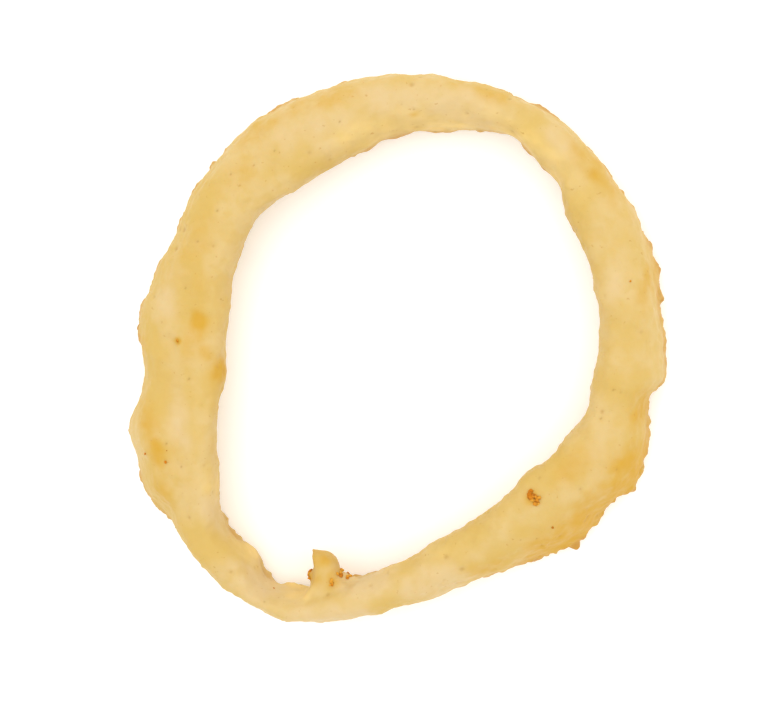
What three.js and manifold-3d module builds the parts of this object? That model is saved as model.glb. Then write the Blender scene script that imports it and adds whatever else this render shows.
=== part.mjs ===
// A battered, deep-fried onion ring lying flat, as one closed solid.
// Millimetres, +Z up. The origin is on the surface it lies on, under the middle of its outline.
import * as THREE from 'three';
import { mergeVertices } from 'three/addons/utils/BufferGeometryUtils.js';
import Module from 'manifold-3d';

// The coated band, station by station.
// at      direction from the middle of the ring, degrees from +X towards +Y
// inner   distance from the middle to the inner edge
// outer   distance from the middle to the outer edge
// top     height of the top of the coat
// lift    how far the underside stands clear of the surface there
// lean    how far the top edge is set in towards the middle, as a share of the half width
const stations = [
  { at: 0, inner: 33.7, outer: 44.1, top: 12.8, lift: 0.3, lean: 0.2 },
  { at: 8, inner: 34.8, outer: 44.2, top: 12.7, lift: 0.1, lean: 0.2 },
  { at: 15, inner: 35.2, outer: 44.9, top: 12.6, lift: 0, lean: 0.15 },
  { at: 30, inner: 36.1, outer: 46.1, top: 12.3, lift: 0, lean: 0.1 },
  { at: 40, inner: 37, outer: 46.6, top: 12, lift: 0.4, lean: 0 },
  { at: 46, inner: 39.3, outer: 46.9, top: 11.9, lift: 0.6, lean: -0.05 },
  { at: 53, inner: 39.7, outer: 47.1, top: 11.9, lift: 0.8, lean: -0.1 },
  { at: 62, inner: 40.6, outer: 47.2, top: 11.9, lift: 0.9, lean: -0.15 },
  { at: 75, inner: 38.4, outer: 46.6, top: 12, lift: 0.8, lean: -0.2 },
  { at: 90, inner: 35.8, outer: 46.2, top: 12.4, lift: 0.3, lean: -0.1 },
  { at: 105, inner: 33.1, outer: 45.4, top: 12.9, lift: 0, lean: 0.1 },
  { at: 120, inner: 31.2, outer: 45.7, top: 13.2, lift: 0, lean: 0.25 },
  { at: 135, inner: 31.7, outer: 44.6, top: 13.3, lift: 0.4, lean: 0.3 },
  { at: 144, inner: 30.9, outer: 43.8, top: 13.2, lift: 0.7, lean: 0.3 },
  { at: 150, inner: 30, outer: 42.8, top: 13.1, lift: 0.8, lean: 0.3 },
  { at: 163, inner: 28.2, outer: 43.3, top: 12.8, lift: 0.7, lean: 0.3 },
  { at: 172, inner: 27.8, outer: 44.1, top: 12.7, lift: 0.5, lean: 0.35 },
  { at: 187, inner: 28, outer: 43.5, top: 12.9, lift: 0.2, lean: 0.4 },
  { at: 196, inner: 29.6, outer: 48.4, top: 13.2, lift: 0, lean: 0.5 },
  { at: 203, inner: 31.6, outer: 49.1, top: 13.2, lift: 0, lean: 0.5 },
  { at: 208, inner: 33.2, outer: 49.6, top: 13.2, lift: 0, lean: 0.5 },
  { at: 215, inner: 35.7, outer: 48.2, top: 12.9, lift: 0.2, lean: 0.4 },
  { at: 225, inner: 40.2, outer: 47.7, top: 12.4, lift: 0.5, lean: 0.05 },
  { at: 234, inner: 40.7, outer: 48.1, top: 12, lift: 0.8, lean: -0.1 },
  { at: 241, inner: 43.6, outer: 48, top: 11.8, lift: 0.9, lean: -0.15 },
  { at: 248, inner: 42.5, outer: 48, top: 11.8, lift: 0.8, lean: -0.15 },
  { at: 256, inner: 39, outer: 46, top: 12, lift: 0.5, lean: -0.1 },
  { at: 270, inner: 34.7, outer: 41.5, top: 12.5, lift: 0.1, lean: 0.1 },
  { at: 276, inner: 33, outer: 40.8, top: 12.7, lift: 0, lean: 0.15 },
  { at: 285, inner: 30.2, outer: 39.4, top: 13, lift: 0, lean: 0.2 },
  { at: 300, inner: 29.1, outer: 40, top: 13.4, lift: 0, lean: 0.35 },
  { at: 308, inner: 29.5, outer: 41.6, top: 13.5, lift: 0, lean: 0.45 },
  { at: 316, inner: 29.2, outer: 42.9, top: 13.6, lift: 0.2, lean: 0.5 },
  { at: 324, inner: 29.5, outer: 42.8, top: 13.5, lift: 0.4, lean: 0.5 },
  { at: 330, inner: 31, outer: 44.5, top: 13.4, lift: 0.5, lean: 0.5 },
  { at: 336, inner: 31.5, outer: 44.7, top: 13.3, lift: 0.6, lean: 0.45 },
  { at: 344, inner: 33.1, outer: 43.3, top: 13.1, lift: 0.6, lean: 0.3 },
  { at: 351, inner: 32.9, outer: 42, top: 13, lift: 0.5, lean: 0.2 },
  { at: 356, inner: 33.2, outer: 44.4, top: 12.9, lift: 0.4, lean: 0.2 },
];
const squareness = 2.5;       // 2 is an oval section, higher is boxier
const footDepth = 0.4;        // the coat is pressed flat this deep where it rests

// Relief of the coat: wide swells, then lumps.
const swells = { size: 9, rise: 0.5, seed: 11 };
const lumps = { size: 3.8, rise: 0.35, seed: 23 };
// Bumps and hollows on the top, by place in plan. A negative rise is a hollow.
const spots = [
  { x: -40.5, y: -12.5, radius: 4.2, rise: 0.7 },    // low outer lobe of the wide side
  { x: -31.5, y: -16, radius: 4, rise: 0.4 },        // ridge along its inner edge
  { x: -22.5, y: -32, radius: 2.6, rise: 0.6 },      // lump before the thin stretch
  { x: -32.8, y: 5.7, radius: 1.8, rise: -0.5 },     // golden hollow
  { x: -36.6, y: 2.5, radius: 0.9, rise: -0.5 },     // burst bubble
  { x: -38.6, y: 0, radius: 3, rise: 0.4 },
  { x: 23.8, y: -22.3, radius: 2.2, rise: 0.5 },     // lump that carries the toasted crumb
];
// A shallow valley that runs down the wide side, between the lobe and the ridge.
const valley = { path: [[-37, 2], [-36.4, -9], [-35.4, -20], [-33, -31]], width: 2.2, depth: 0.8 };

// The tab of batter that set while running into the hole: its outline in plan, and
// how far that outline is drawn in at each height so the edges are round.
const drip = {
  middle: [-11.4, -36.4],
  outline: [
    [-13.7, -32.6], [-12.4, -32.9], [-10.8, -33], [-9.6, -33.7], [-9, -35.1], [-8.5, -36.4],
    [-7.3, -37.2], [-6.1, -38.6], [-8.4, -40.3], [-11.8, -40.9], [-15.2, -40.3], [-14.2, -38.9],
    [-13.3, -37.8], [-13.1, -35.7], [-13.4, -34],
  ],
  layers: [
    { height: 4.4, scale: 0.55 }, { height: 4.9, scale: 0.85 }, { height: 6.2, scale: 1 },
    { height: 8, scale: 0.98 }, { height: 9.4, scale: 0.84 }, { height: 10, scale: 0.5 },
  ],
};

// Crumbs of batter fused to the ring: three beside the drip, one on the top.
const blobs = [
  { x: -13.5, y: -36.9, z: 7.2, rx: 0.8, ry: 1, rz: 0.9, turn: 0 },
  { x: -8.1, y: -36.5, z: 7.6, rx: 0.9, ry: 0.7, rz: 0.9, turn: 10 },
  { x: -6.8, y: -36.8, z: 7.5, rx: 0.9, ry: 0.6, rz: 0.8, turn: -20 },
  { x: 23.6, y: -22, z: 13.3, rx: 1.2, ry: 1, rz: 0.9, turn: 40 },
];

const alongSteps = 180;       // facets round the ring
const sectionSteps = 26;      // facets round the section
const blobDetail = { around: 10, down: 8 };
const blobLumps = { size: 1.1, share: 0.12, seed: 40 };
const weldGap = 1e-5;

// Repeatable noise from -1 to 1, smooth over cells of the given size.
function corner(ix, iy, iz, seed) {
  const mixed = Math.sin(ix * 127.1 + iy * 311.7 + iz * 74.7 + seed * 53.3) * 43758.5453;
  return 2 * (mixed - Math.floor(mixed)) - 1;
}

function smoothNoise(point, size, seed) {
  const cell = [point.x / size, point.y / size, point.z / size];
  const base = cell.map(Math.floor);
  const blend = cell.map((value, axis) => {
    const part = value - base[axis];
    return part * part * (3 - 2 * part);
  });
  let total = 0;
  for (let bit = 0; bit < 8; bit += 1) {
    const step = [bit & 1, (bit >> 1) & 1, (bit >> 2) & 1];
    const weight = step.reduce((w, on, axis) => w * (on ? blend[axis] : 1 - blend[axis]), 1);
    total += weight * corner(base[0] + step[0], base[1] + step[1], base[2] + step[2], seed);
  }
  return total;
}

// The value of one station field in any direction: a smooth closed curve through the stations.
function stationValue(key, degrees) {
  const count = stations.length;
  const place = (index) => stations[((index % count) + count) % count].at + 360 * Math.floor(index / count);
  const value = (index) => stations[((index % count) + count) % count][key];
  const slope = (index) => (value(index + 1) - value(index - 1)) / (place(index + 1) - place(index - 1));
  let low = count - 1;
  while (stations[low].at > degrees) low -= 1;
  const span = place(low + 1) - place(low);
  const t = (degrees - place(low)) / span;
  const t2 = t * t;
  const t3 = t2 * t;
  return (2 * t3 - 3 * t2 + 1) * value(low) + (t3 - 2 * t2 + t) * span * slope(low)
    + (3 * t2 - 2 * t3) * value(low + 1) + (t3 - t2) * span * slope(low + 1);
}

// One section as distances from the middle and heights, anticlockwise from the outer edge.
function section(degrees) {
  const inner = stationValue('inner', degrees);
  const outer = stationValue('outer', degrees);
  const top = stationValue('top', degrees);
  const bottom = stationValue('lift', degrees) - footDepth;
  const lean = stationValue('lean', degrees);
  const power = 2 / squareness;
  const outline = [];
  for (let step = 0; step < sectionSteps; step += 1) {
    const angle = (2 * Math.PI * step) / sectionSteps;
    const across = Math.sign(Math.cos(angle)) * Math.abs(Math.cos(angle)) ** power;
    const up = Math.sign(Math.sin(angle)) * Math.abs(Math.sin(angle)) ** power;
    outline.push([across - lean * up, up]);
  }
  const reach = Math.max(...outline.map(([across]) => across));
  return outline.map(([across, up]) => [
    (inner + outer) / 2 + (across / reach) * (outer - inner) / 2,
    bottom + (up + 1) * (top - bottom) / 2,
  ]);
}

// How far a place in plan is from the valley's line.
function valleyDistance(x, y) {
  const point = new THREE.Vector3(x, y, 0);
  const nearest = new THREE.Vector3();
  let best = Infinity;
  for (let leg = 1; leg < valley.path.length; leg += 1) {
    const line = new THREE.Line3(
      new THREE.Vector3(...valley.path[leg - 1], 0),
      new THREE.Vector3(...valley.path[leg], 0),
    );
    line.closestPointToPoint(point, true, nearest);
    best = Math.min(best, nearest.distanceTo(point));
  }
  return best;
}

const bell = (distance, width) => Math.exp(-((distance / width) ** 2));

// How far the coat stands out from the plain section at a point, along its normal.
function relief(point, normal) {
  let rise = swells.rise * smoothNoise(point, swells.size, swells.seed)
    + lumps.rise * smoothNoise(point, lumps.size, lumps.seed);
  const facingUp = Math.max(normal.z, 0);
  for (const spot of spots) {
    rise += facingUp * spot.rise * bell(Math.hypot(point.x - spot.x, point.y - spot.y), spot.radius);
  }
  return rise - facingUp * valley.depth * bell(valleyDistance(point.x, point.y), valley.width);
}

function coatedBand() {
  const positions = [];
  for (let along = 0; along < alongSteps; along += 1) {
    const degrees = (360 * along) / alongSteps;
    const turn = THREE.MathUtils.degToRad(degrees);
    for (const [distance, height] of section(degrees)) {
      positions.push(distance * Math.cos(turn), distance * Math.sin(turn), height);
    }
  }
  const indices = [];
  for (let along = 0; along < alongSteps; along += 1) {
    const next = (along + 1) % alongSteps;
    for (let step = 0; step < sectionSteps; step += 1) {
      const after = (step + 1) % sectionSteps;
      const a = along * sectionSteps + step;
      const b = next * sectionSteps + step;
      const c = next * sectionSteps + after;
      const d = along * sectionSteps + after;
      indices.push(a, b, c, a, c, d);
    }
  }
  const geometry = new THREE.BufferGeometry();
  geometry.setAttribute('position', new THREE.Float32BufferAttribute(positions, 3));
  geometry.setIndex(indices);
  return geometry;
}

// Raises the relief and presses flat what would go below the surface the ring lies on.
function raiseRelief(geometry) {
  geometry.computeVertexNormals();
  const position = geometry.attributes.position;
  const normals = geometry.attributes.normal;
  const point = new THREE.Vector3();
  const normal = new THREE.Vector3();
  for (let index = 0; index < position.count; index += 1) {
    point.fromBufferAttribute(position, index);
    normal.fromBufferAttribute(normals, index);
    point.addScaledVector(normal, relief(point, normal));
    position.setXYZ(index, point.x, point.y, Math.max(point.z, 0));
  }
  return geometry;
}

function lumpyBlob({ x, y, z, rx, ry, rz, turn }, seed) {
  const ball = new THREE.SphereGeometry(1, blobDetail.around, blobDetail.down);
  ball.scale(rx, ry, rz);
  const position = ball.attributes.position;
  const point = new THREE.Vector3();
  for (let index = 0; index < position.count; index += 1) {
    point.fromBufferAttribute(position, index);
    point.multiplyScalar(1 + blobLumps.share * smoothNoise(point, blobLumps.size, seed));
    position.setXYZ(index, point.x, point.y, point.z);
  }
  ball.rotateZ(THREE.MathUtils.degToRad(turn));
  ball.translate(x, y, z);
  return ball;
}

// The drip as a closed stack of outlines, capped at both ends.
function dripShape() {
  const { middle, outline, layers } = drip;
  const positions = [];
  for (const { height, scale } of layers) {
    for (const [x, y] of outline) {
      positions.push(middle[0] + (x - middle[0]) * scale, middle[1] + (y - middle[1]) * scale, height);
    }
  }
  const floor = positions.push(middle[0], middle[1], layers[0].height) / 3 - 1;
  const roof = positions.push(middle[0], middle[1], layers[layers.length - 1].height) / 3 - 1;
  const indices = [];
  const count = outline.length;
  const lastRow = (layers.length - 1) * count;
  for (let index = 0; index < count; index += 1) {
    const next = (index + 1) % count;
    for (let row = 0; row < lastRow; row += count) {
      indices.push(row + next, row + index, row + count + index);
      indices.push(row + next, row + count + index, row + count + next);
    }
    indices.push(floor, index, next);
    indices.push(roof, lastRow + next, lastRow + index);
  }
  const geometry = new THREE.BufferGeometry();
  geometry.setAttribute('position', new THREE.Float32BufferAttribute(positions, 3));
  geometry.setIndex(indices);
  return geometry;
}

const wasm = await Module();
wasm.setup();

function toSolid(geometry) {
  const bare = geometry.clone();
  bare.deleteAttribute('normal');
  bare.deleteAttribute('uv');
  const merged = mergeVertices(bare, weldGap);
  return new wasm.Manifold(new wasm.Mesh({
    numProp: 3,
    vertProperties: new Float32Array(merged.attributes.position.array),
    triVerts: new Uint32Array(merged.index.array),
  }));
}

function toGeometry(solid) {
  const mesh = solid.getMesh();
  const geometry = new THREE.BufferGeometry();
  geometry.setAttribute('position', new THREE.BufferAttribute(mesh.vertProperties, 3));
  geometry.setIndex(new THREE.BufferAttribute(mesh.triVerts, 1));
  return geometry;
}

function onionRing() {
  let solid = toSolid(raiseRelief(coatedBand())).add(toSolid(dripShape()));
  blobs.forEach((blob, index) => {
    solid = solid.add(toSolid(lumpyBlob(blob, blobLumps.seed + index)));
  });
  const geometry = toGeometry(solid);
  geometry.computeBoundingBox();
  const middle = geometry.boundingBox.getCenter(new THREE.Vector3());
  geometry.translate(-middle.x, -middle.y, 0);
  geometry.computeVertexNormals();
  const batter = new THREE.MeshStandardMaterial({ color: 0xe8c27c, roughness: 0.5, metalness: 0 });
  const mesh = new THREE.Mesh(geometry, batter);
  mesh.name = 'onion_ring';
  return mesh;
}

const part = new THREE.Group();
part.add(onionRing());
export default part;
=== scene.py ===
import math

import bmesh
import bpy
import numpy as np
from mathutils import Matrix, Vector
from mathutils.bvhtree import BVHTree
from mathutils.kdtree import KDTree


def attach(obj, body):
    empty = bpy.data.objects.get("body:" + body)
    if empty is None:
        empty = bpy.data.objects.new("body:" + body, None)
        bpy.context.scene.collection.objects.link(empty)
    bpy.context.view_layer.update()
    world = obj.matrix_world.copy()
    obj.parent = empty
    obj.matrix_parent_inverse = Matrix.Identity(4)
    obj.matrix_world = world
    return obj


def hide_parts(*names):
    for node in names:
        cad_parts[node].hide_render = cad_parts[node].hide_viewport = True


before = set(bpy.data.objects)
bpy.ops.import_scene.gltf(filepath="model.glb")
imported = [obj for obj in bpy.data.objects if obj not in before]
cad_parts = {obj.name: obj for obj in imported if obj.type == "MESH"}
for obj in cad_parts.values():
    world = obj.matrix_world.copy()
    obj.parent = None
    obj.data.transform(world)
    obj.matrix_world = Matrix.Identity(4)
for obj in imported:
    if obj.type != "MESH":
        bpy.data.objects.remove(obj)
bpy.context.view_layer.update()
mm = 0.001
print("frame loaded, solids:", sorted(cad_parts))


def latticeNoise(points, cell, seed):
    # smooth noise from -1 to 1, the same every time for the same seed
    scaled = points / cell + seed * 17.31
    low = np.floor(scaled).astype(np.int64)
    part = scaled - low
    blend = part ** 3 * (part * (part * 6 - 15) + 10)
    total = np.zeros(len(points))
    for corner in range(8):
        step = np.array([corner & 1, (corner >> 1) & 1, (corner >> 2) & 1])
        at = low + step
        mixed = at[:, 0] * 374761393 + at[:, 1] * 668265263 + at[:, 2] * 2147483647 + seed * 1274126177
        mixed = (mixed ^ (mixed >> 13)) * 1274126177 & 0x7FFFFFFF
        mixed = (mixed ^ (mixed >> 16)) * 668265263 & 0x7FFFFFFF
        value = (mixed % 20011) / 10005.0 - 1
        total += value * np.prod(np.where(step, blend, 1 - blend), axis=1)
    return total


def layeredNoise(points, cell, layers, seed):
    total = np.zeros(len(points))
    for layer in range(layers):
        total += latticeNoise(points, cell / 2 ** layer, seed + 7 * layer) / 2 ** layer
    return total


def smoothStep(low, high, values):
    part = np.clip((values - low) / (high - low), 0, 1)
    return part * part * (3 - 2 * part)


def fadeUp(points, span):
    # 0 below a span of heights, 1 above it
    low, high = span
    return smoothStep(low * mm, high * mm, points[:, 2])


def readPoints(piece):
    points = np.empty(len(piece.data.vertices) * 3)
    piece.data.vertices.foreach_get("co", points)
    return points.reshape(-1, 3)


def readNormals(piece):
    normals = np.empty(len(piece.data.vertices) * 3, np.float32)
    piece.data.vertex_normals.foreach_get("vector", normals)
    return normals.reshape(-1, 3).astype(float)


def writePoints(piece, points):
    piece.data.vertices.foreach_set("co", points.reshape(-1))
    piece.data.update()


def writeTone(piece, name, values):
    tone = piece.data.attributes.new(name, "FLOAT", "POINT")
    tone.data.foreach_set("value", np.clip(values, 0, 1).astype(np.float32))


def planPatch(points, patch):
    # 1 at the middle of an oval patch seen from above, fading to 0 outside it
    x, y, halfLength, halfWidth, turn = patch
    angle = math.radians(turn)
    dx = points[:, 0] - x * mm
    dy = points[:, 1] - y * mm
    along = (dx * math.cos(angle) + dy * math.sin(angle)) / (halfLength * mm)
    across = (dy * math.cos(angle) - dx * math.sin(angle)) / (halfWidth * mm)
    return np.exp(-(along ** 2 + across ** 2))


def patchTone(points, patches, rim, seed):
    # all patches of one tone, their rims broken up by noise
    total = np.zeros(len(points))
    for patch in patches:
        total = np.maximum(total, planPatch(points, patch[:5]) * patch[5])
    cell, layers, strength = rim
    return np.clip(total * (1 + strength * layeredNoise(points, cell * mm, layers, seed)), 0, 1)


# fine coat: how smooth, how lumpy, where it is golden, pale or burst, and where light and shade are
# painted into its colour
coat = {
    "weld": 0.001,                  # corners of the solid closer than this are joined
    "voxel": 0.385,                 # spacing of the points
    "smoothing": 12,                # rounds that take the facets away
    "regain": 0.07,                 # what the smoothing shrinks, put back
    "inset": 0.16,                  # walls drawn in, so the relief keeps the ring's outline
    "swells": (6.5, 0.12, 3),       # cell, height, seed
    "curds": (2.6, 0.13, 5),
    "grain": (0.9, 0.1, 9),
    "crags": (2.6, 0.25, 14),       # on upright walls
    "footCrags": 3.2,               # how much more of them near the foot
    "foot": (2, 7),                 # the foot fades out between these heights
    "waist": (7, 2.4, 0.45),        # height, spread, how much calmer: the widest place sets the outline
    "calming": 0.8,                 # how much calmer the smoother places are
    # round marks; the chance of one is for anywhere, then more on upright walls, more at the foot
    "blisters": {"count": 300, "radius": (0.45, 1.2), "rise": 0.14, "seed": 41, "chance": (1, 0, 0)},
    "flakes": {"count": 900, "radius": (0.6, 1.3), "rise": 0.22, "seed": 43, "chance": (0.15, 1, 0)},
    "pits": {"count": 230, "radius": (0.5, 1.0), "rise": -0.35, "seed": 42, "chance": (0.4, 1, 2)},
    "lumps": {"count": 150, "radius": (1.4, 2.8), "rise": 0.42, "seed": 44, "chance": (0.02, 0, 1)},
    "crustRise": 0.6,               # what stands this high is crust
    "burstRadius": 0.42,
    "burstDepth": 0.28,
    "top": 13,                      # the bubbles are looked for near this height
    # smoother places: x, y, half length, half width, turn
    "calm": [
        (-11.5, -37.0, 4.2, 4.2, 0),        # drip
        (-43.5, -11.0, 6.5, 4.0, 100),      # lobe
        (-19.0, -35.5, 7.0, 4.0, 130),      # inner wall beside the drip
        (6.0, 34.5, 13.0, 4.0, 0),          # inner wall across from the drip
        (22.0, 30.0, 8.0, 4.0, -50),
    ],
    # small shifts in plan that settle the outline: x, y, reach, shift in x, shift in y
    "nudges": [
        (-43.8, -11.4, 3.4, 0.6, 0.0),      # upper side of the lobe
        (-42.5, -19.6, 3.4, 0.4, 0.1),      # its lower side
        (-38.6, -27.4, 3.0, 0.4, 0.35),
        (-37.5, 17.5, 12.0, 0.3, -0.15),
        (-27.0, -31.0, 7.0, -0.3, -0.3),    # inner edge beside the drip
        (6.2, -35.5, 8.0, 0.05, -0.35),
        (28.5, -14.0, 7.0, -0.4, 0.15),
        (38.5, 14.0, 7.0, -0.45, -0.15),
        (-11.4, -35.0, 2.8, 0.0, 0.6),      # tip of the drip
    ],
    # the way a place faces, from -1 down to 1 up, over which a tone comes in
    "lying": (-0.45, 0.3),
    "facing": (-0.6, 0.2),
    "steep": (0.1, 0.85),           # the darker wall tone, partly toasting and partly painted shade on upright walls, goes out over this, up or down alike
    "toastAndShadeUpTo": (3.5, 9),        # the wall tone, partly toasting and partly painted shade, fades out between these heights
    # middle, strength, cell, layers, seed
    "blush": (0.5, 0.5, 8, 3, 61),
    "wallMottle": (0.85, 0.4, 5, 2, 63),
    "crustMottle": (0.7, 0.6, 1.6, 3, 64),
    "rim": (2.4, 3, 0.4),           # noise that breaks up the rims of the patches: cell, layers, strength
    "litWallShare": 0.9,                # how much of the wall tone the lit walls lose
    # walls painted as light as the top where they look lit, without the wall tone: x, y, half length,
    # half width, turn
    "litWalls": [
        (-20.0, -34.5, 9.0, 5.0, 130),
        (-14.5, -38.5, 4.5, 3.5, 160),
        (-29.5, -22.0, 7.0, 3.5, 115),
    ],
    # tiny burst bubbles on the top: x, y
    "burst": [
        (-6.6, 37.6), (-17.7, 32.8), (-21.0, 30.5), (-25.0, 29.3), (-27.0, 23.1), (-30.5, 18.1),
        (-33.1, 10.7), (-32.0, -4.4), (-35.8, -15.4), (-33.6, -19.0), (-19.2, -39.9), (5.3, 38.8),
        (37.7, -5.2), (35.7, -9.7), (39.1, -18.5), (22.8, -29.8), (25.7, -30.4),
    ],
    # patches seen from above: x, y, half length, half width, turn in degrees, strength
    "golden": [
        (-30.4, 5.0, 2.3, 1.8, 80, 0.8),
        (-31.2, 2.4, 4.4, 2.0, 65, 0.6),
        (-29.4, -0.2, 3.6, 1.5, 130, 0.5),
        (-27.4, -3.2, 3.0, 1.6, 75, 0.9),
        (-30.2, 11.0, 4.0, 2.4, 90, 0.3),
        (-37.7, -16.6, 3.4, 2.0, 100, 0.85),
        (-39.4, -12.4, 5.5, 2.8, 100, 0.55),
        (-37.0, -23.0, 4.5, 2.6, 110, 0.5),
        (-31.0, 18.0, 8.0, 3.6, 62, 0.36),
        (-23.0, 29.5, 7.0, 3.4, 40, 0.35),
        (-34.1, 1.8, 0.8, 0.7, 0, 1.0),
        (-41.0, 0.5, 4.0, 1.4, 95, 0.4),
        # these patches on the lower right outer wall are partly the batter's own golden colour and partly
        # painted shade, as this wall slopes away from the light
        (17.5, -34.6, 6.0, 1.8, 20, 0.45),
        (28.0, -32.6, 9.0, 4.8, 42, 1.0),
        (39.0, -22.4, 10.0, 4.6, 62, 1.0),
        (33.4, -27.6, 9.0, 3.6, 50, 1.0),
        (33.4, -24.0, 4.0, 2.2, 48, 0.8),
        (31.5, -17.5, 6.0, 3.2, 45, 0.45),
        (41.6, -8.5, 4.0, 2.0, 75, 0.7),
        (42.8, 12.1, 6.0, 1.6, 78, 0.6),
        (35.2, 28.6, 9.0, 2.2, -52, 0.55),
        (16.0, 42.6, 9.0, 1.8, -20, 0.4),
        (-10.5, 41.0, 9.0, 2.4, 14, 0.5),
        (-20.8, 36.0, 6.0, 2.4, 32, 0.5),
        (5.3, 38.8, 1.2, 0.6, 20, 0.5),
        (-34.5, -19.0, 7.0, 3.0, 105, 0.35),
        (24.9, -22.6, 1.7, 1.5, 30, 0.9),
        (-8.6, -37.4, 1.5, 2.0, 0, 0.9),
        (-11.0, -34.4, 3.4, 2.0, 0, 0.8),
        (-11.2, -37.0, 3.2, 2.4, 0, 0.5),
        (-13.4, -37.4, 1.4, 1.4, 0, 0.9),
    ],
    # pale: the batter's own paler cream, and also painted light where the patches reach down the inner
    # edges and inner walls to lift their shade
    "pale": [
        (-9.0, 33.4, 5.0, 2.0, 15, 0.6),
        (-12.2, 36.0, 11.0, 4.0, 15, 0.5),
        (-35.8, 9.0, 5.5, 2.4, 85, 0.6),
        (-33.8, -11.2, 7.5, 2.2, 95, 0.6),
        (-27.0, -27.5, 6.0, 3.0, 135, 0.8),
        (-22.0, -38.5, 6.0, 3.0, 155, 0.9),
        (-9.0, -43.6, 8.0, 2.6, 5, 0.9),
        (-19.5, -33.5, 5.0, 2.0, 150, 0.9),
        (-3.0, -37.4, 6.5, 3.2, 8, 0.85),
        (9.0, -37.0, 7.0, 3.2, 12, 0.9),
        (3.0, 41.0, 9.0, 3.4, 0, 0.7),
        (13.0, 40.0, 7.0, 3.4, -18, 0.9),
        (29.4, 33.4, 7.0, 2.2, -45, 0.5),
        (37.4, 11.2, 6.0, 2.4, 78, 0.5),
        (35.6, -13.3, 6.0, 2.4, 70, 0.4),
    ],
    # painted light: a bright yellow laid on the inner walls and inner slopes, which lifts their shade
    "paintedLight": [
        (22.0, 35.0, 9.0, 3.2, -30, 0.45),
        (10.0, 36.6, 9.0, 3.2, -8, 0.5),
        (-3.0, 35.4, 8.0, 3.0, 14, 0.4),
        (29.0, 29.4, 7.0, 3.0, -48, 0.4),
        (-25.0, -25.0, 6.0, 2.6, 130, 0.8),
        (-21.5, -32.0, 6.0, 3.0, 125, 1.0),
        (-17.0, -37.2, 5.0, 2.8, 140, 1.0),
        (-13.8, -39.0, 2.4, 2.0, 160, 0.5),
        (-1.0, -34.6, 6.0, 2.2, 10, 0.4),
        (9.0, -31.5, 6.0, 2.2, 15, 0.25),
    ],
    # where the drip runs into the band, its seam is smoothed away: x, y, height, reach, rounds
    "seam": (-11.0, -40.2, 9.5, 3.6, 40),
}


def applied(piece):
    depsgraph = bpy.context.evaluated_depsgraph_get()
    finished = bpy.data.meshes.new_from_object(piece.evaluated_get(depsgraph))
    piece.modifiers.clear()
    piece.data = finished


def smoothSeam(piece, seam):
    x, y, height, reach, rounds = seam
    away = np.linalg.norm(readPoints(piece) - np.array((x, y, height)) * mm, axis=1) / (reach * mm)
    group = piece.vertex_groups.new(name="seam")
    for index in np.flatnonzero(away < 1):
        group.add([int(index)], float(1 - away[index] ** 2), "REPLACE")
    smooth = piece.modifiers.new("seam", "SMOOTH")
    smooth.vertex_group = "seam"
    smooth.iterations = rounds
    applied(piece)


def fineCopy(node, settings):
    mesh = node.data.copy()
    work = bmesh.new()
    work.from_mesh(mesh)
    bmesh.ops.remove_doubles(work, verts=work.verts, dist=settings["weld"] * mm)
    work.to_mesh(mesh)
    work.free()
    mesh.materials.clear()
    piece = bpy.data.objects.new("batter_coat", mesh)
    bpy.context.scene.collection.objects.link(piece)
    remesh = piece.modifiers.new("even points", "REMESH")
    remesh.mode = "VOXEL"
    remesh.voxel_size = settings["voxel"] * mm
    smooth = piece.modifiers.new("no facets", "SMOOTH")
    smooth.factor = 0.5
    smooth.iterations = settings["smoothing"]
    applied(piece)
    smoothSeam(piece, settings["seam"])
    return piece


def pointFinder(points):
    finder = KDTree(len(points))
    for index, point in enumerate(points):
        finder.insert(point, index)
    finder.balance()
    return finder


markReach = 2          # a mark ends at this many radii
markFalloff = 1.4      # and fades this fast on the way
markStrength = (0.5, 1)


def addMark(total, finder, place, radius, strength):
    # one round bump, kept where it is stronger than those already there
    for _, index, away in finder.find_range(place, markReach * radius):
        bump = strength * math.exp(-(away / radius * markFalloff) ** 2)
        if abs(bump) > abs(total[index]):
            total[index] = bump


def scatterMarks(points, finder, chance, settings):
    random = np.random.default_rng(settings["seed"])
    total = np.zeros(len(points))
    picked = random.choice(len(points), settings["count"], replace=False, p=chance / chance.sum())
    for index in picked:
        radius = random.uniform(*settings["radius"]) * mm
        addMark(total, finder, points[index], radius, random.uniform(*markStrength))
    return total


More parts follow.
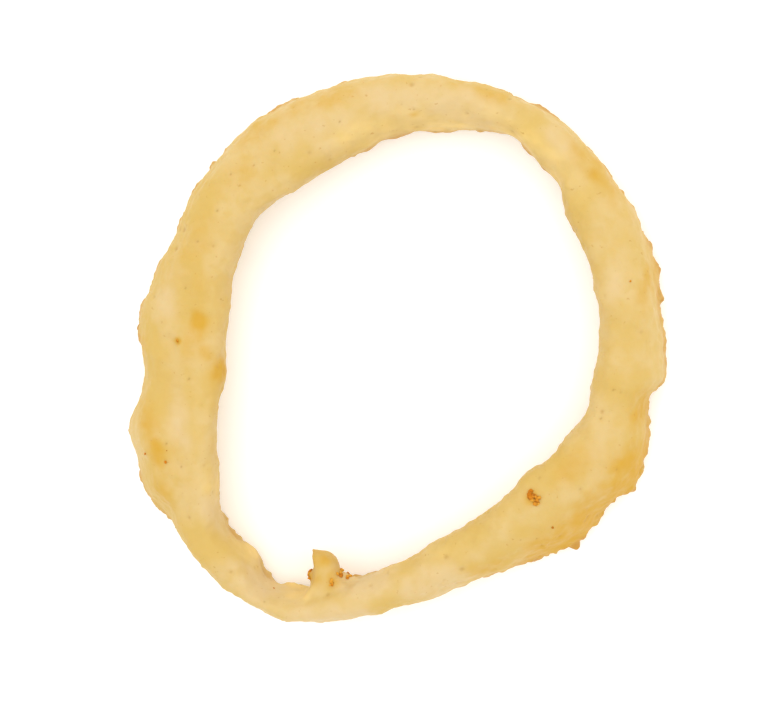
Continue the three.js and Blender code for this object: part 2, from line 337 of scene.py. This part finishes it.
def shapeCoat(piece, settings):
    points = readPoints(piece)
    normals = readNormals(piece)
    finder = pointFinder(points)
    upright = 1 - np.abs(normals[:, 2])
    foot = upright * (1 - fadeUp(points, settings["foot"]))
    rise = np.zeros(len(points))
    for name in ("swells", "curds", "grain"):
        cell, most, seed = settings[name]
        rise += most * layeredNoise(points, cell * mm, 2, seed)
    cell, most, seed = settings["crags"]
    rise += most * (upright + settings["footCrags"] * foot) * layeredNoise(points, cell * mm, 3, seed)
    marks = {}
    for name in ("blisters", "flakes", "pits", "lumps"):
        anywhere, onWalls, atFoot = settings[name]["chance"]
        chance = anywhere + onWalls * upright + atFoot * foot
        marks[name] = scatterMarks(points, finder, chance, settings[name])
        rise += settings[name]["rise"] * marks[name]
    rise -= np.average(rise, weights=upright)
    waist, spread, calmer = settings["waist"]
    rise *= 1 - calmer * np.exp(-((points[:, 2] / mm - waist) / spread) ** 2)
    for place in settings["calm"]:
        rise *= 1 - settings["calming"] * planPatch(points, place)
    rise += settings["regain"] - settings["inset"] * upright
    burst = np.zeros(len(points))
    for x, y in settings["burst"]:
        _, index, _ = finder.find((x * mm, y * mm, settings["top"] * mm))
        addMark(burst, finder, points[index], settings["burstRadius"] * mm, 1)
    rise -= settings["burstDepth"] * burst
    shift = normals * rise[:, None] * mm
    for x, y, reach, shiftX, shiftY in settings["nudges"]:
        share = planPatch(points, (x, y, reach, reach, 0))
        shift += share[:, None] * np.array((shiftX, shiftY, 0)) * mm
    points = points + shift
    points[:, 2] = np.maximum(points[:, 2], 0)
    writePoints(piece, points)
    # painted shade: the pits and burst bubbles are darkened inside
    marks["hollow"] = np.maximum(marks["pits"], burst)
    marks["crust"] = np.maximum(marks["lumps"], rise / settings["crustRise"])
    return points, normals, marks


def mottled(points, mottle):
    middle, strength, cell, layers, seed = mottle
    return middle + strength * layeredNoise(points, cell * mm, layers, seed)


def toneCoat(piece, settings, points, normals, marks):
    facing = smoothStep(*settings["facing"], normals[:, 2])
    lying = smoothStep(*settings["lying"], normals[:, 2])
    # the bright yellow patches are painted light on the inner walls, and the pale ones partly lift them
    # too
    for name, seed, side in (("golden", 71, lying), ("pale", 72, lying), ("paintedLight", 73, facing)):
        writeTone(piece, name, patchTone(points, settings[name], settings["rim"], seed) * side)
    writeTone(piece, "blush", mottled(points, settings["blush"]))
    writeTone(piece, "hollow", marks["hollow"])
    # darker on upright walls towards the foot: partly toasting, partly painted shade, taken away on the
    # walls that look lit
    wall = 1 - smoothStep(*settings["steep"], np.abs(normals[:, 2]))
    wall *= 1 - fadeUp(points, settings["toastAndShadeUpTo"])
    for place in settings["litWalls"]:
        wall *= 1 - settings["litWallShare"] * planPatch(points, place)
    writeTone(piece, "wall", wall * mottled(points, settings["wallMottle"]))
    writeTone(piece, "crust", wall * marks["crust"] * mottled(points, settings["crustMottle"]))


def addNode(tree, kind, inputs=None, **fields):
    made = tree.nodes.new(kind)
    for name, value in fields.items():
        setattr(made, name, value)
    for name, value in (inputs or {}).items():
        made.inputs[name].default_value = value
    return made


def newMaterial(name):
    material = bpy.data.materials.new(name)
    material.use_nodes = True
    tree = material.node_tree
    tree.nodes.clear()
    shader = addNode(tree, "ShaderNodeBsdfPrincipled")
    output = addNode(tree, "ShaderNodeOutputMaterial")
    tree.links.new(shader.outputs[0], output.inputs["Surface"])
    return material, tree, shader


def toLinear(value):
    value /= 255
    return value / 12.92 if value <= 0.04045 else ((value + 0.055) / 1.055) ** 2.4


def colour(red, green, blue):
    # given as it looks on a screen, 0 to 255
    return (toLinear(red), toLinear(green), toLinear(blue), 1)


def millimetres(tree):
    place = addNode(tree, "ShaderNodeTexCoord")
    scale = addNode(tree, "ShaderNodeVectorMath", {"Scale": 1 / mm}, operation="SCALE")
    tree.links.new(place.outputs["Object"], scale.inputs[0])
    return scale.outputs[0]


def noiseHeight(tree, place, cell, detail, roughness=0.5):
    values = {"Scale": 1 / cell, "Detail": detail, "Roughness": roughness}
    noise = addNode(tree, "ShaderNodeTexNoise", values)
    tree.links.new(place, noise.inputs["Vector"])
    return noise.outputs[0]


def ramp(tree, source, low, high, least, most):
    values = {"From Min": low, "From Max": high, "To Min": least, "To Max": most}
    mask = addNode(tree, "ShaderNodeMapRange", values, interpolation_type="SMOOTHSTEP")
    tree.links.new(source, mask.inputs["Value"])
    return mask.outputs[0]


def noiseMask(tree, place, mask):
    cell, detail, low, high, least, most = mask
    return ramp(tree, noiseHeight(tree, place, cell, detail), low, high, least, most)


def toneMask(tree, name, cover):
    low, high, most = cover
    source = addNode(tree, "ShaderNodeAttribute", attribute_name=name).outputs["Fac"]
    return ramp(tree, source, low, high, 0, most)


def layColour(tree, below, above, mask):
    # mixes a colour over another by a mask
    mix = addNode(tree, "ShaderNodeMix", data_type="RGBA")
    colours = [socket for socket in mix.inputs if socket.type == "RGBA"]
    for socket, value in zip([mix.inputs[0]] + colours, (mask, below, above)):
        if isinstance(value, tuple):
            socket.default_value = value
        else:
            tree.links.new(value, socket)
    return [socket for socket in mix.outputs if socket.type == "RGBA"][0]


batter = {
    "cream": colour(208, 178, 114),
    "straw": colour(203, 169, 89),
    # pale cream, also laid as painted light on the inner walls
    "pale": colour(211, 183, 131),
    # painted light: the bright yellow that lifts the shaded inner walls
    "paintedLight": colour(234, 202, 124),
    "golden": colour(200, 152, 34),
    # the wall tone: toasting and painted shade on upright walls near the foot
    "wall": colour(198, 150, 62),
    "crust": colour(186, 132, 46),
    # painted shade inside the pits and burst bubbles
    "hollow": colour(172, 126, 54),
    "fleck": colour(182, 132, 52),
    # masks from noise: cell, detail, where it starts and is full, least, most
    "mottle": (2.6, 3, 0.42, 0.66, 0, 0.55),
    "flecks": (0.75, 2, 0.68, 0.76, 0, 0.5),
    "roughness": (1.6, 3, 0.3, 0.7, 0.52, 0.72),
    # masks from the tones on the coat: where it starts, where it is full, how much it covers
    "blush": (0.25, 0.75, 1),
    "hollows": (0.35, 1, 0.45),
    "layers": [                    # laid over each other in this order
        ("pale", 0.05, 0.8, 0.85),
        ("paintedLight", 0.05, 0.8, 0.9),
        ("wall", 0.1, 1, 0.9),
        ("golden", 0.05, 0.95, 0.9),
        ("crust", 0.05, 1, 0.7),
    ],
    # bumps too fine for the mesh: cell, detail, strength, height
    "coarseBump": (0.7, 4, 0.55, 0.14),
    "fineBump": (0.22, 3, 0.45, 0.06),
    "bumpRoughness": 0.6,
    "shine": 0.34,
    "subsurface": 0.12,
    "bleed": 0.7,
    "bleedByColour": (1.0, 0.5, 0.18),
    "oil": 0.05,
    "oilRoughness": 0.35,
}


def addBump(tree, place, bump, roughness):
    cell, detail, strength, height = bump
    made = addNode(tree, "ShaderNodeBump", {"Strength": strength, "Distance": height * mm})
    tree.links.new(noiseHeight(tree, place, cell, detail, roughness), made.inputs["Height"])
    return made


def batterMaterial(settings):
    material, tree, shader = newMaterial("fried batter")
    place = millimetres(tree)
    blush = toneMask(tree, "blush", settings["blush"])
    surface = layColour(tree, settings["cream"], settings["straw"], blush)
    surface = layColour(tree, surface, settings["straw"], noiseMask(tree, place, settings["mottle"]))
    for name, *cover in settings["layers"]:
        surface = layColour(tree, surface, settings[name], toneMask(tree, name, cover))
    surface = layColour(tree, surface, settings["fleck"], noiseMask(tree, place, settings["flecks"]))
    surface = layColour(tree, surface, settings["hollow"], toneMask(tree, "hollow", settings["hollows"]))
    tree.links.new(surface, shader.inputs["Base Color"])
    tree.links.new(noiseMask(tree, place, settings["roughness"]), shader.inputs["Roughness"])

    coarse = addBump(tree, place, settings["coarseBump"], settings["bumpRoughness"])
    fine = addBump(tree, place, settings["fineBump"], settings["bumpRoughness"])
    tree.links.new(coarse.outputs[0], fine.inputs["Normal"])
    tree.links.new(fine.outputs[0], shader.inputs["Normal"])

    shader.inputs["Specular IOR Level"].default_value = settings["shine"]
    shader.inputs["Subsurface Weight"].default_value = settings["subsurface"]
    shader.inputs["Subsurface Radius"].default_value = settings["bleedByColour"]
    shader.inputs["Subsurface Scale"].default_value = settings["bleed"] * mm
    shader.inputs["Coat Weight"].default_value = settings["oil"]
    shader.inputs["Coat Roughness"].default_value = settings["oilRoughness"]
    return material


crumbLook = {
    "light": colour(216, 156, 50),
    "toasted": colour(196, 116, 10),
    "dark": colour(142, 82, 14),
    "toast": (0.1, 0.8, 1),        # where it starts, where it is full, how much it covers
    "patches": (0.5, 3, 0.5, 0.66, 0, 0.7),
    "roughness": 0.7,
    "shine": 0.2,
}


def crumbMaterial(settings):
    material, tree, shader = newMaterial("toasted crumb")
    toast = toneMask(tree, "toast", settings["toast"])
    surface = layColour(tree, settings["light"], settings["toasted"], toast)
    patches = noiseMask(tree, millimetres(tree), settings["patches"])
    surface = layColour(tree, surface, settings["dark"], patches)
    tree.links.new(surface, shader.inputs["Base Color"])
    shader.inputs["Roughness"].default_value = settings["roughness"]
    shader.inputs["Specular IOR Level"].default_value = settings["shine"]
    return material


# toasted crumbs: small heaps of granules on the top and beside the drip, then more low on the wall
crumbs = {
    # x, y, radius of the heap, how many granules, granule radius, toast from 0 to 1
    "heaps": [
        (24.4, -22.0, 0.5, 6, 0.36, 1.0),
        (25.2, -22.9, 0.8, 12, 0.34, 0.5),
        (-13.6, -37.6, 0.8, 12, 0.32, 0.35),
        (-13.6, -36.5, 0.6, 9, 0.28, 0.45),
        (-7.6, -36.9, 0.5, 8, 0.3, 0.4),
        (-8.9, -38.0, 0.5, 5, 0.28, 0.3),
        (-6.3, -37.2, 0.6, 6, 0.28, 0.5),
        (-39.9, -17.1, 0.1, 1, 0.22, 1.0),
        (-36.2, -18.3, 0.1, 1, 0.2, 0.8),
        (-35.9, -16.4, 0.1, 1, 0.14, 0.8),
        (-34.1, 1.8, 0.2, 2, 0.2, 0.5),
        (-19.2, -39.9, 0.1, 1, 0.18, 0.8),
        (27.8, -27.7, 0.15, 1, 0.2, 0.6),
        (40.0, 12.1, 0.1, 1, 0.2, 0.6),
    ],
    # on the outer wall, where the bulge above hides them from the top
    "wallHeight": (0.8, 2.8),
    "wallTilt": (-0.25, 0.3),      # which way such a wall faces, up or down, and how far from that
    "tried": 600,                  # places tried
    "cover": 0.7,                  # how far the bulge has to reach over them
    "strewn": 60,                  # single granules
    "strewnRadius": (0.14, 0.3),
    "wallHeaps": 9,
    "wallHeapSpread": 0.9,
    "wallHeapCount": (5, 12),
    "wallHeapRadius": (0.22, 0.42),
    "sunk": 0.3,                   # share of a granule that is inside the coat
    "unevenSize": (0.7, 1.2),
    "unevenToast": 0.3,
    "strewnToast": (0.1, 0.9),
    "wallHeapToast": (0.2, 1),
    "above": 50,                   # heaps are dropped on the coat from this height
    "beside": 7,                   # past its edge they go on the wall at this height
    "seed": 77,
}


granule = {
    "stretch": ((0.8, 1.35), (0.7, 1), (0.6, 0.9)),    # along, across, and off the surface
    "lumps": 0.42,
    "lumpCell": 0.85,
    "seed": 3,
}


def addGranule(work, toasts, centre, normal, radius, toast, random):
    made = bmesh.ops.create_icosphere(work, subdivisions=2, radius=1)["verts"]
    turn = normal.to_track_quat("Z", "Y").to_matrix() @ Matrix.Rotation(random.uniform(0, 6.28), 3, "Z")
    stretch = Vector([random.uniform(*span) for span in granule["stretch"]])
    shape = np.array([vert.co for vert in made])
    noise = latticeNoise(shape + random.uniform(0, 50, 3), granule["lumpCell"], granule["seed"])
    lumps = 1 + granule["lumps"] * noise
    for vert, lump in zip(made, lumps):
        vert.co = centre + turn @ (vert.co * stretch * lump * radius)
        vert.co.z = max(vert.co.z, 0)
        toasts.append(toast)


def underBulge(surface, place, normal, cover):
    # whether the coat above hides a granule that stands out this far
    start = Vector(place) + Vector(normal) * cover * mm
    return surface.ray_cast(start, Vector((0, 0, 1)))[0] is not None


def toastedCrumbs(coatPiece, settings):
    random = np.random.default_rng(settings["seed"])
    surface = BVHTree.FromObject(coatPiece, bpy.context.evaluated_depsgraph_get())
    work = bmesh.new()
    toasts = []
    for x, y, spread, count, size, toast in settings["heaps"]:
        for _ in range(count):
            angle = random.uniform(0, 2 * math.pi)
            away = spread * math.sqrt(random.uniform(0, 1))
            overX = x + away * math.cos(angle)
            overY = y + away * math.sin(angle)
            start = Vector((overX, overY, settings["above"])) * mm
            place, normal, _, _ = surface.ray_cast(start, Vector((0, 0, -1)))
            if place is None:
                beside = Vector((start.x, start.y, settings["beside"] * mm))
                place, normal, _, _ = surface.find_nearest(beside)
            radius = size * random.uniform(*settings["unevenSize"]) * mm
            centre = place + normal * radius * (1 - 2 * settings["sunk"])
            toasted = toast + random.uniform(-settings["unevenToast"], settings["unevenToast"])
            addGranule(work, toasts, centre, normal, radius, toasted, random)
    points = readPoints(coatPiece)
    normals = readNormals(coatPiece)
    least, most = settings["wallHeight"]
    low = (points[:, 2] > least * mm) & (points[:, 2] < most * mm)
    tilt, spread = settings["wallTilt"]
    outward = (points[:, :2] * normals[:, :2]).sum(axis=1) > 0
    onWalls = np.flatnonzero(low & outward & (np.abs(normals[:, 2] - tilt) < spread))
    tried = random.choice(onWalls, settings["tried"], replace=False)
    cover = settings["cover"]
    hidden = [index for index in tried if underBulge(surface, points[index], normals[index], cover)]
    for index in hidden[settings["wallHeaps"]:settings["wallHeaps"] + settings["strewn"]]:
        radius = random.uniform(*settings["strewnRadius"]) * mm
        toasted = random.uniform(*settings["strewnToast"])
        addGranule(work, toasts, Vector(points[index]), Vector(normals[index]), radius, toasted, random)
    for index in hidden[:settings["wallHeaps"]]:
        for _ in range(random.integers(*settings["wallHeapCount"])):
            aside = Vector(random.normal(0, 0.5, 3)) * settings["wallHeapSpread"] * mm
            place, normal, _, _ = surface.find_nearest(Vector(points[index]) + aside)
            radius = random.uniform(*settings["wallHeapRadius"]) * mm
            centre = place + normal * radius * (1 - 2 * settings["sunk"])
            toasted = random.uniform(*settings["wallHeapToast"])
            addGranule(work, toasts, centre, normal, radius, toasted, random)
    mesh = bpy.data.meshes.new("toasted_crumbs")
    work.to_mesh(mesh)
    work.free()
    piece = bpy.data.objects.new("toasted_crumbs", mesh)
    bpy.context.scene.collection.objects.link(piece)
    writeTone(piece, "toast", np.array(toasts))
    return piece


def shadeSmooth(piece):
    piece.data.polygons.foreach_set("use_smooth", [True] * len(piece.data.polygons))
    piece.data.update()


studio = {
    "eye": (57.4, 25.2, 349),      # where the lens stands, from the ring's origin
    "target": (0.1, -0.2, 6.5),
    "lens": 98,
    "nearest": 10,                 # what is closer than this isn't drawn
    "sky": 1.12,
    "glow": 0.14,                  # the floor is a softly lit table
    "keyPlace": (90, 260, 860),
    "keySize": 1.2,
    "keyPower": 3.4,
    "floor": colour(251, 251, 250),
    "floorHalf": 3000,
    "floorDrop": 0.02,             # just under the ring
    "floorRoughness": 0.9,
    "floorShine": 0.1,
}


def aimAt(piece, target):
    # looks at the target with +Y of the ring upwards in the picture
    back = (piece.location - Vector(target)).normalized()
    right = Vector((0, 1, 0)).cross(back).normalized()
    piece.rotation_euler = Matrix((right, back.cross(right), back)).transposed().to_euler()


def makeCamera(settings):
    data = bpy.data.cameras.new("camera")
    camera = bpy.data.objects.new("camera", data)
    bpy.context.scene.collection.objects.link(camera)
    camera.location = Vector(settings["eye"]) * mm
    data.lens = settings["lens"]
    data.clip_start = settings["nearest"] * mm
    aimAt(camera, Vector(settings["target"]) * mm)
    bpy.context.scene.camera = camera


def makeLights(settings):
    world = bpy.data.worlds.new("soft white room")
    world.use_nodes = True
    world.node_tree.nodes["Background"].inputs["Color"].default_value = (1, 1, 1, 1)
    world.node_tree.nodes["Background"].inputs["Strength"].default_value = settings["sky"]
    bpy.context.scene.world = world
    data = bpy.data.lights.new("key", "AREA")
    data.size = settings["keySize"]
    data.energy = settings["keyPower"]
    key = bpy.data.objects.new("key", data)
    key.location = Vector(settings["keyPlace"]) * mm
    aimAt(key, (0, 0, 0))
    bpy.context.scene.collection.objects.link(key)


def makeFloor(settings):
    work = bmesh.new()
    bmesh.ops.create_grid(work, x_segments=1, y_segments=1, size=settings["floorHalf"] * mm)
    mesh = bpy.data.meshes.new("floor")
    work.to_mesh(mesh)
    work.free()
    floor = bpy.data.objects.new("floor", mesh)
    floor.location.z = -settings["floorDrop"] * mm
    bpy.context.scene.collection.objects.link(floor)
    material, _, shader = newMaterial("pale floor")
    shader.inputs["Base Color"].default_value = settings["floor"]
    shader.inputs["Emission Color"].default_value = (1, 1, 1, 1)
    shader.inputs["Emission Strength"].default_value = settings["glow"]
    shader.inputs["Roughness"].default_value = settings["floorRoughness"]
    shader.inputs["Specular IOR Level"].default_value = settings["floorShine"]
    mesh.materials.append(material)


makeCamera(studio)
makeLights(studio)
makeFloor(studio)
print("studio ready")

coatPiece = fineCopy(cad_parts["onion_ring"], coat)
coatPoints, coatNormals, coatMarks = shapeCoat(coatPiece, coat)
toneCoat(coatPiece, coat, coatPoints, coatNormals, coatMarks)
shadeSmooth(coatPiece)
coatPiece.data.materials.append(batterMaterial(batter))
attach(coatPiece, "root")
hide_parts("onion_ring")
print("coat ready, faces:", len(coatPiece.data.polygons))

crumbPiece = toastedCrumbs(coatPiece, crumbs)
shadeSmooth(crumbPiece)
crumbPiece.data.materials.append(crumbMaterial(crumbLook))
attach(crumbPiece, "root")
print("crumbs ready, faces:", len(crumbPiece.data.polygons))

bpy.context.scene.view_settings.view_transform = "Standard"
